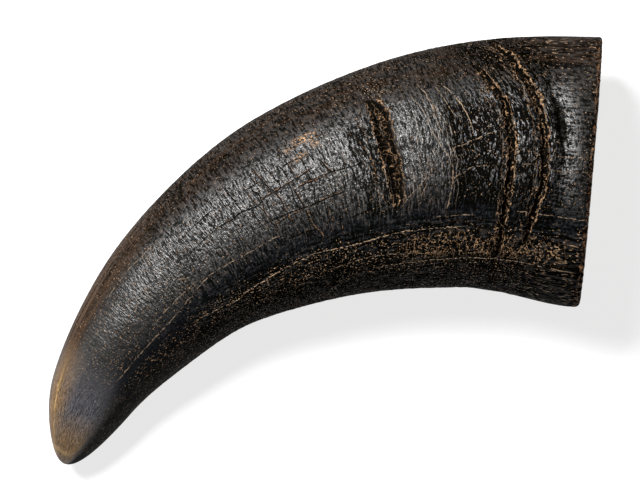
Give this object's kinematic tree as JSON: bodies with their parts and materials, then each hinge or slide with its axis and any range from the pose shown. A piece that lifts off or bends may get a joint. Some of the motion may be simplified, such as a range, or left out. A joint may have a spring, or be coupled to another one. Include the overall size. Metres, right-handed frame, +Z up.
{
  "type": "water buffalo horn",
  "caption": "Hollow curved horn sheath, wide open at the base and solid at the blunt tip, with worn growth rings; lies flat on one side.",
  "frame": {"origin": "middle of the bounding box in X and Y, on the surface the horn lies on", "axes": "+X from the tip end towards the open rim, +Y towards the outside of the bend, +Z up, away from the side it lies on"},
  "size_m": [0.187, 0.1444, 0.0627],
  "materials": {
    "horn": "satin near-black keratin, grained, with tan flecks and an amber tip"
  },
  "bodies": {
    "root": {"horn": "horn"}
  },
  "joints": []
}
